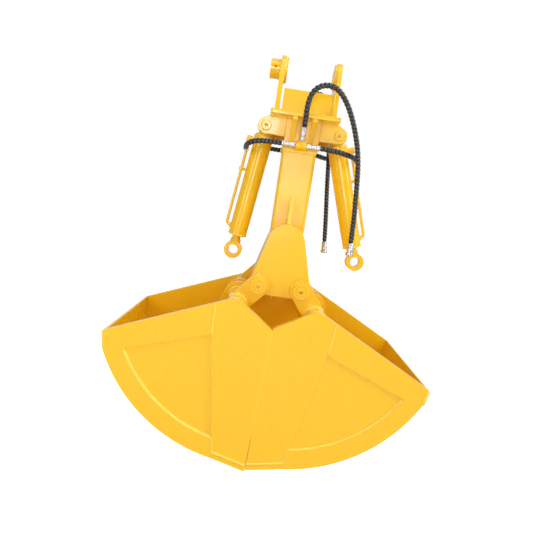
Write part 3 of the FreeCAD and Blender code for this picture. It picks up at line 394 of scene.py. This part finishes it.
def line_of(route):
    """The points of a route's own smooth line, as Blender evaluates it."""
    piece = nurbs_curve("route", route)
    bpy.context.scene.collection.objects.link(piece)
    bpy.context.view_layer.update()
    seen = piece.evaluated_get(bpy.context.evaluated_depsgraph_get())
    data = bpy.data.meshes.new_from_object(seen)
    made = [v.co.copy() for v in data.vertices]
    bpy.data.objects.remove(piece)
    bpy.data.meshes.remove(data)
    return made


def guard_mesh(points):
    """A spiral guard: a rounded strip wound round the hose with a gap between its turns."""
    line, length = steps_along(points, GUARD_PITCH / GUARD_STEPS)
    half = GUARD_PITCH * 0.36
    rise = GUARD_RADIUS - HOSE_RADIUS + GUARD_SINK
    section = [(half * cos(radians(a)), HOSE_RADIUS - GUARD_SINK + rise * sin(radians(a)) ** 0.6)
               for a in (180, 160, 135, 110, 90, 70, 45, 20, 0)]
    step = length / (len(line) - 1)
    made = []
    for i, (point, (way, u, v)) in enumerate(zip(line, axes_along(line))):
        turn = 2 * pi * i * step / GUARD_PITCH
        out = u * cos(turn) + v * sin(turn)
        made.extend(point + way * along + out * radius for along, radius in section)
    return made, ring_faces(len(line), len(section))


def trimmed(points, start, end):
    """The part of a line between two distances from its ends."""
    line, length = steps_along(points, 0.0005)
    step = length / (len(line) - 1)
    return line[int(start / step):len(line) - int(end / step)]


def hexagon(centre, way, length, radius):
    """A hexagonal nut with chamfered corners."""
    cut = 0.0009
    profile = [(0.0, radius - cut), (cut, radius), (length - cut, radius), (length, radius - cut)]
    return lathe(profile, centre, way, 6)


def ferrule(centre, way, length, radius):
    """A crimped ferrule: a plain lip at each end and the rings that the press leaves."""
    lip, rings = 0.0034, 4
    profile = [(0.0, radius - 0.0016), (0.0008, radius - 0.0006), (0.0030, radius), (lip, radius - 0.0009)]
    step = (length - 2 * lip) / rings
    for i in range(rings):
        at = lip + step * i
        profile += [(at + 0.0004, radius - 0.0009), (at + 0.0010, radius - 0.0002),
                    (at + step - 0.0008, radius - 0.0002), (at + step - 0.0002, radius - 0.0009)]
    profile += [(length - 0.0030, radius), (length - 0.0004, radius), (length, radius - 0.0010)]
    return lathe(profile, centre, way, 28)


def make_supply_hose(where):
    route = SUPPLY[where]
    hose = nurbs_curve(f"supply_hose_{where}_tube", route, HOSE_RADIUS)
    link(hose, RUBBER, "column")
    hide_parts(f"supply_hose_{where}")
    line = line_of(route)
    parts = [guard_mesh(trimmed(line, 0.004, 0.004))]
    guard = mesh_piece(f"supply_guard_{where}", parts, GUARD, "column")
    way = (route[-1] - route[-2]).normalized()
    coupling = mesh_piece(f"supply_fitting_{where}", [
        ferrule(route[-1], way, 0.024, 0.0096),
        lathe([(0.0235, 0.0070), (0.0270, 0.0070)], route[-1], way),
        hexagon(route[-1] + way * 0.0265, way, 0.0115, 0.0113),
    ], ZINC, "column")
    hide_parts(f"supply_coupling_{where}")


for where in SUPPLY:
    make_supply_hose(where)


# Link hoses, from the tees to the cylinders

def ported(front, side, route, port, lead=20):
    """A route from a tee's union to a cylinder's port, in mm above the hinge pins."""
    start = Vector((side * 55, front * 98, 411))
    end = Vector(port)
    points = [start, start + Vector((side * lead, 0, 0))]
    points += [Vector(p) for p in route]
    points += [end + Vector((0, front * 25, 0)), end]
    return on_hinge(points)


LINKS = {
    "left_pressure_hose": ported(
        -1, -1, [(-112, -99, 409), (-138, -95, 405), (-155, -78, 397)],
        (-159.11, -30, 388.26)),
    "right_pressure_hose": ported(
        -1, 1, [(115, -96, 408), (142, -85, 405), (162, -69, 402)],
        (171.03, -30, 399.09)),
    "left_return_hose": ported(
        1, -1, [(-107, 99, 413), (-137, 82, 418)],
        (-152.74, 30, 420.70)),
    "right_return_hose": ported(
        1, 1, [(81, 110, 410), (99, 128, 409), (124, 133, 411), (146, 117, 418), (157, 88, 425)],
        (158.71, 30, 429.77), lead=15),
}

for name, route in LINKS.items():
    side = name.split("_")[0]
    line = line_of(route)
    fine, _ = steps_along(line, 0.003)
    for label, parts, material in (
        ("tube", [tube(fine, HOSE_RADIUS, 20)], RUBBER),
        ("guard", [guard_mesh(trimmed(line, 0.002, 0.017))], GUARD),
    ):
        piece = mesh_piece(f"{name}_{label}", parts, material, None)
        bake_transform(piece)
        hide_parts(name)


# Unions on the tees, and the ferrules at the cylinders' ports

TEE_LEAN = radians(25)
TEE_Y = 0.098
TEE_Z = -0.223
TEE_ARM = 0.015


def make_unions():
    parts = []
    for front in (-1, 1):
        middle = Vector((0, front * TEE_Y, TEE_Z))
        up = Vector((0, front * sin(TEE_LEAN), cos(TEE_LEAN)))
        for way in (Vector((-1, 0, 0)), Vector((1, 0, 0)), up):
            port = middle + way * TEE_ARM
            parts.append(lathe([(-0.002, 0.0072), (0.0005, 0.0072)], port, way))
            parts.append(hexagon(port + way * 0.0003, way, 0.0100, 0.0095))
            parts.append(lathe([(0.0100, 0.0060), (0.0140, 0.0060)], port, way))
            parts.append(ferrule(port + way * 0.0135, way, 0.0270, 0.0084))
    unions = mesh_piece("hose_unions", parts, ZINC, "column")
    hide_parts("tee_unions")


make_unions()

for side in SIDES:
    parts = []
    for name, route in LINKS.items():
        if name.startswith(side):
            way = (route[-1] - route[-2]).normalized()
            parts.append(ferrule(route[-1] - way * 0.0160, way, 0.0165, 0.0086))
    mesh_piece(f"{side}_port_ferrules", parts, ZINC, f"{side}_cylinder")


# Weld beads, in the paler enamel whose lighter colour is a painted highlight

RIPPLE = 0.0026


def bead(points, radius, closed=False):
    """A weld bead: a rounded run with the ripples of the weld pool across it."""
    line, _ = steps_along([Vector(p) for p in points], RIPPLE / 2)
    if closed:
        line = line[:-1]

    def size(i):
        ends = 1.0 if closed else min(1.0, 0.55 + 0.25 * min(i, len(line) - 1 - i))
        ripple = 0.07 if i % 2 else -0.05
        return radius * ends * (1.0 + ripple + 0.05 * sin(i * 0.37) + 0.03 * sin(i * 0.91))

    return tube(line, size, 8, closed)


def straight(a, b, radius):
    """A straight bead between two points in mm."""
    return bead([Vector(a) * MM, Vector(b) * MM], radius)


def ring(x, radius, size):
    """A round bead about the hanger bore's axis, in mm."""
    count = int(radius * pi)
    turns = [radians(360 * i / count) for i in range(count + 1)]
    return bead([Vector((x, radius * cos(a), radius * sin(a))) * MM for a in turns], size, closed=True)


ARC_STEPS = 40


def arc_points(a, b, radius):
    """Points of the arc from a to b in (x, z), with its centre to the left of the way there."""
    ax, az = a
    bx, bz = b
    half = hypot(bx - ax, bz - az) / 2
    rise = sqrt(radius * radius - half * half)
    mx, mz = (ax + bx) / 2, (az + bz) / 2
    nx, nz = -(bz - az) / (2 * half), (bx - ax) / (2 * half)
    cx, cz = mx + nx * rise, mz + nz * rise
    first, last = atan2(az - cz, ax - cx), atan2(bz - cz, bx - cx)
    if last - first > pi:
        last -= 2 * pi
    if first - last > pi:
        last += 2 * pi
    turns = [first + (last - first) * i / ARC_STEPS for i in range(ARC_STEPS + 1)]
    return [(cx + radius * cos(a), cz + radius * sin(a)) for a in turns]


# Places of the column's seams, in mm
BASE_UNDER = -146
BASE_TOP = -134
HEAD_Y = 74
HEAD_LOW = -240
HEAD_CORNER = 12
COLUMN_Y = 62
GUSSET_X = 28
GUSSET_HALF = 7
EAR_INSIDE = 77.5
EAR_OUTSIDE = 90.5
EAR_HALF = 80
EAR_PAD = 36
EAR_BOSS = 28
CROSS_FRONT = -66
CROSS_BACK = -54
RIB_TOP = -367
RIB_LOW = -450


def head_welds(parts, front):
    """The seams of a head plate, its gussets and the rib below it."""
    y = front * HEAD_Y
    under = BASE_UNDER - 1
    parts.append(straight((-50, y, BASE_UNDER), (50, y, BASE_UNDER), 0.0035))
    for side in (-1, 1):
        parts.append(straight((side * 52.5, y, under), (side * 52.5, y, -199), 0.0028))
        parts.append(straight((side * 52, y, BASE_UNDER), (side * 99, y, BASE_UNDER), 0.003))
        for x in (side * GUSSET_X - GUSSET_HALF, side * GUSSET_X + GUSSET_HALF):
            parts.append(straight((x, y, under), (x, y, -227), 0.0024))
            parts.append(straight((x, y, BASE_UNDER), (x, front * 111, BASE_UNDER), 0.0024))
    high = HEAD_LOW + HEAD_CORNER
    low = arc_points((-51, high), (-39, HEAD_LOW), HEAD_CORNER)
    low += arc_points((39, HEAD_LOW), (51, high), HEAD_CORNER)
    parts.append(bead([Vector((x, front * COLUMN_Y, z)) * MM for x, z in low], 0.003))
    for x in (-6, 6):
        parts.append(straight((x, front * COLUMN_Y, RIB_TOP), (x, front * COLUMN_Y, RIB_LOW + 1), 0.0026))
        parts.append(straight((x, front * COLUMN_Y, RIB_LOW), (x, front * 116, RIB_LOW), 0.0026))


def hanger_welds(parts):
    """The seams of the ears and of the plate between them."""
    for side in (-1, 1):
        inside, outside = side * EAR_INSIDE, side * EAR_OUTSIDE
        for x in (inside, outside):
            parts.append(straight((x, -EAR_HALF, BASE_TOP), (x, EAR_HALF, BASE_TOP), 0.0036))
        for y in (-EAR_HALF, EAR_HALF):
            parts.append(straight((inside, y, BASE_TOP), (outside, y, BASE_TOP), 0.0034))
        parts.append(ring(inside, EAR_PAD, 0.0028))
    for y in (CROSS_FRONT, CROSS_BACK):
        parts.append(straight((-70, y, BASE_TOP), (77, y, BASE_TOP), 0.0032))
        parts.append(straight((EAR_INSIDE, y, BASE_TOP), (EAR_INSIDE, y, CROSS_FRONT), 0.0028))
    parts.append(ring(-EAR_OUTSIDE, EAR_BOSS, 0.003))


def column_welds():
    parts = []
    for front in (-1, 1):
        head_welds(parts, front)
    hanger_welds(parts)
    mesh_piece("column_welds", parts, WELD, "column")


column_welds()


# Shells, in mm in their own frame: x away from the hinge pin, z up

TILT = radians(2.6)
SEAM = -61.5
CROWN = (66.95, -37.96)
TIP = (402.0, -193.1)
TIP_LOW = (395.0, -242.1)
HEEL = (45.0, -509.0)
HEEL_TOP = (40.6, -489.5)
LIP_TOP = (SEAM, -512.5)
NOTCH = -103.5
WINDOW = {"corner": (102, -147), "tip": (338, -233), "heel": (48.5, -449)}
WINDOW_RADIUS = 404
FLOOR_RADIUS = 450
TUBE = (53.5, -67.0)
LIPS = ((224.6, -430), (214, LIP_TOP[1] - 5), (207.4, LIP_TOP[1] - 5))
LIP_RADIUS = 0.00042
ARC_BEAD = {"left": 0.0056, "right": 0.0040}
TIP_BEAD = {"left": (-3, 0.0040), "right": (0, 0.0064)}


def on_shell(side, x, y, z):
    """A point of a shell's own frame, in mm from its hinge pin, in the row frame, in metres."""
    x *= side
    return Vector((
        side * HINGE_X + (x * cos(TILT) + z * sin(TILT)) * MM,
        y * MM,
        HINGE_Z + (-x * sin(TILT) + z * cos(TILT)) * MM,
    ))


def rim_at(x):
    """The height of the shell's upper edge at x."""
    return CROWN[1] - (x - CROWN[0]) * (CROWN[1] - TIP[1]) / (TIP[0] - CROWN[0])


def shell_welds(name, side):
    parts = []

    def run(profile, y, size):
        parts.append(bead([on_shell(side, x, y, z) for x, z in profile], size))

    def round_tube(y, radius, size):
        turns = [2 * pi * i / 48 for i in range(49)]
        circle = [on_shell(side, TUBE[0] + radius * cos(a), y, TUBE[1] + radius * sin(a)) for a in turns]
        parts.append(bead(circle, size, closed=True))

    def round_arm(y, radius, size):
        middle = atan2(-TUBE[1], -TUBE[0])
        turns = [middle + radians(-88 + 176 * i / 24) for i in range(25)]
        part = [on_shell(side, TUBE[0] + radius * cos(a), y, TUBE[1] + radius * sin(a)) for a in turns]
        parts.append(bead(part, size))

    corner, tip, heel = WINDOW["corner"], WINDOW["tip"], WINDOW["heel"]
    slope = (corner[0] - heel[0]) / (corner[1] - heel[1])
    high = corner[0] + 24 * slope
    out, tip_size = TIP_BEAD[name]
    floor = arc_points((HEEL[0] - 2, HEEL[1] + 12), (TIP_LOW[0] - 12, TIP_LOW[1] + 2), FLOOR_RADIUS)
    for front in (-1, 1):
        plate, face, inside = front * 219, front * 225, front * 207
        run(arc_points(heel, tip, WINDOW_RADIUS), plate, ARC_BEAD[name])
        run([corner, tip], plate, 0.0022)
        run([corner, heel], plate, 0.0022)
        run([corner, (high, rim_at(high) - 2)], face, 0.0022)
        run([heel, (heel[0] - 50 * slope, heel[1] - 50)], face, 0.0018)
        run([LIP_TOP, HEEL_TOP], face, 0.0032)
        run([(TIP[0] + out, TIP[1] - 3), (TIP_LOW[0] + out, TIP_LOW[1])], front * 221, tip_size)
        run(floor, inside, 0.0034)
        for y in (front * 135.5, front * 148.5):
            round_arm(y, 30, 0.0036)
        for y in (front * 19.5, front * 32.5):
            round_tube(y, 30.5, 0.0032)
        for y, foot in LIPS:
            edge = [on_shell(side, SEAM, front * y, z) for z in (NOTCH, foot)]
            parts.append(tube(edge, LIP_RADIUS, 6))
        round_tube(inside, 30, 0.0034)
    mesh_piece(f"{name}_shell_welds", parts, WELD, f"{name}_shell")


for name, side in SIDES.items():
    shell_welds(name, side)


# Cylinders, in mm down from the lug pin

LEAN = {"left": radians(7.65), "right": radians(-18.4)}


def on_cylinder(name, x, y, z):
    """A point of a cylinder's own frame, in mm from its lug pin, in the row frame, in metres."""
    side = SIDES[name]
    turn = LEAN[name]
    x *= side
    return Vector((
        side * LUG_PIN_X + (x * cos(turn) + z * sin(turn)) * MM,
        y * MM,
        LUG_PIN_Z + (-x * sin(turn) + z * cos(turn)) * MM,
    ))


def cylinder_welds(name):
    parts = []

    def round_run(z, radius, size):
        circle = [on_cylinder(name, radius * cos(a), radius * sin(a), z)
                  for a in [2 * pi * i / 60 for i in range(61)]]
        parts.append(bead(circle, size, closed=True))

    round_run(-335, 28.5, 0.0022)
    round_run(-26, 28.5, 0.0030)
    mesh_piece(f"{name}_cylinder_welds", parts, WELD, f"{name}_cylinder")


LINE_RADIUS = 0.0045
LINE_OUT = 42
LINE_START = -75
LINE_STRAP = -135
LINE_FOOT = -312


def oil_line(name):
    """The hard line: a stub and elbow at the port, a bent pipe with its strap, and a boss at the foot."""
    out, start, foot, strap = LINE_OUT, LINE_START, LINE_FOOT, LINE_STRAP
    places = [
        (out, -28, start), (out, -8, start), (out, 0, start), (out, 0, start - 9),
        (out, 0, foot + 22), (out, 0, foot), (out - 15, 0, foot),
    ]
    line, _ = steps_along(line_of([on_cylinder(name, *place) for place in places]), 0.002)
    outward = (on_cylinder(name, out, 0, foot) - on_cylinder(name, 0, 0, foot)).normalized()
    down = (on_cylinder(name, 0, 0, -1) - on_cylinder(name, 0, 0, 0)).normalized()
    port = on_cylinder(name, out, -30, start)
    band = [on_cylinder(name, out - 15, 0, strap), on_cylinder(name, out - 4, 0, strap)]
    parts = [
        tube(line, LINE_RADIUS, 20),
        hexagon(port, (0, 1, 0), 0.0110, 0.0092),
        lathe([(0.010, 0.0065), (0.021, 0.0065), (0.022, 0.0055)], port, (0, 1, 0)),
        lathe([(-0.0045, 0.0072), (0.0045, 0.0072)], on_cylinder(name, out, 0, strap), down),
        lathe([(0.026, 0.0085), (0.031, 0.0085), (0.033, 0.0070)], on_cylinder(name, 0, 0, foot), outward),
        tube(band, 0.0045, 16),
    ]
    piece = mesh_piece(f"{name}_hard_line", parts, YELLOW, f"{name}_cylinder")
    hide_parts(f"{name}_oil_line")


def rod_overspray(name):
    """The band of paint on the rod where it leaves the gland."""
    start = on_cylinder(name, 0, 0, -339.3)
    down = (on_cylinder(name, 0, 0, -349.2) - start).normalized()
    painted = lathe([(0.0, 0.01305), (0.0006, 0.0132), (0.0099, 0.0132)], start, down, 32)
    mesh_piece(f"{name}_rod_overspray", [painted], YELLOW, f"{name}_ram")


for name in SIDES:
    cylinder_welds(name)
    oil_line(name)
    rod_overspray(name)


# Grease nipples in the dimples of the pins

def nipple(centre, way):
    return lathe([
        (-0.0028, 0.0050), (-0.0002, 0.0050), (0.0006, 0.0042), (0.0006, 0.0024), (0.0022, 0.0024),
        (0.0026, 0.0018), (0.0032, 0.0026), (0.0042, 0.0026), (0.0050, 0.0016),
    ], centre, way, 12)


LUG_FACE = 0.0772
HINGE_FACE = 0.1607


def nipple_pair(name, x, face, z):
    parts = [nipple((x, front * face, z), (0, front, 0)) for front in (-1, 1)]
    mesh_piece(name, parts, BRASS, "column")


for name, side in SIDES.items():
    nipple_pair(f"{name}_lug_nipples", side * LUG_PIN_X, LUG_FACE, LUG_PIN_Z)
    nipple_pair(f"{name}_hinge_nipples", side * HINGE_X, HINGE_FACE, HINGE_Z)


# Floor, light and background

def make_floor():
    data = bpy.data.meshes.new("floor")
    size, level = 14.0, -1.30
    corners = [(x * size, y * size, level) for x, y in ((-1, -1), (1, -1), (1, 1), (-1, 1))]
    data.from_pydata(corners, [], [(0, 1, 2, 3)])
    floor = bpy.data.objects.new("floor", data)
    material, tree, shader = new_material("pale_floor")
    tone = spread(tree, noise(tree, 1.5, 2.0), 0.0, 1.0)
    pale = blend_colours(tree, tone, (0.70, 0.70, 0.70), (0.72, 0.72, 0.72))
    tree.links.new(pale, shader.inputs["Base Color"])
    shader.inputs["Roughness"].default_value = 0.9
    shader.inputs["Specular IOR Level"].default_value = 0.1
    shader.inputs["Emission Color"].default_value = (1.0, 1.0, 1.0, 1.0)
    seen = add(tree, "ShaderNodeLightPath")
    glow = spread(tree, seen.outputs["Is Camera Ray"], 0.14, 0.90, 0.0, 1.0)
    tree.links.new(glow, shader.inputs["Emission Strength"])
    data.materials.append(material)
    bpy.context.scene.collection.objects.link(floor)


def make_area(name, place, aim, width, height, power):
    data = bpy.data.lights.new(name, "AREA")
    data.shape = "RECTANGLE"
    data.size = width
    data.size_y = height
    data.energy = power
    lamp = bpy.data.objects.new(name, data)
    lamp.location = place
    lamp.rotation_euler = (Vector(aim) - Vector(place)).to_track_quat("-Z", "Y").to_euler()
    bpy.context.scene.collection.objects.link(lamp)


# Each light: its name, place and aim, width and height in metres, and power in watts
AREAS = (
    ("window", (0.15, -3.0, -0.10), (0.05, 0.0, -0.33), 0.8, 0.95, 8.0),
    ("strip", (-0.20, -3.0, -0.17), (-0.1, 0.0, -0.3), 0.27, 1.15, 15.0),
    ("left_softbox", (-1.5, -1.7, 0.0), (-0.3, -0.1, -0.75), 0.9, 1.2, 12.0),
    ("top_softbox", (0.2, -1.0, 2.1), (0.0, 0.0, -0.6), 1.8, 1.5, 26.0),
    ("key", (3.0, -1.6, 2.4), (0.0, 0.0, -0.7), 1.3, 1.3, 58.0),
    ("right_strip", (2.7, -1.0, 0.2), (0.1, 0.0, -0.45), 0.45, 1.7, 20.0),
)


def make_light():
    world = bpy.data.worlds.new("studio")
    bpy.context.scene.world = world
    world.use_nodes = True
    tree = world.node_tree
    shader = tree.nodes["Background"]
    shader.inputs["Color"].default_value = (1.0, 1.0, 1.0, 1.0)
    place = add(tree, "ShaderNodeTexCoord")
    part = add(tree, "ShaderNodeSeparateXYZ")
    tree.links.new(place.outputs["Generated"], part.inputs["Vector"])
    dome = spread(tree, part.outputs["Y"], 0.20, 0.85, -0.1, 0.7)
    seen = add(tree, "ShaderNodeLightPath")
    white = add(tree, "ShaderNodeMath", operation="MAXIMUM")
    tree.links.new(seen.outputs["Is Camera Ray"], white.inputs[0])
    tree.links.new(dome, white.inputs[1])
    tree.links.new(white.outputs["Value"], shader.inputs["Strength"])
    for name, *values in AREAS:
        make_area(name, *values)
    view = bpy.context.scene.view_settings
    view.view_transform = "Standard"
    view.look = "None"
    view.exposure = 0.0


make_floor()
make_light()
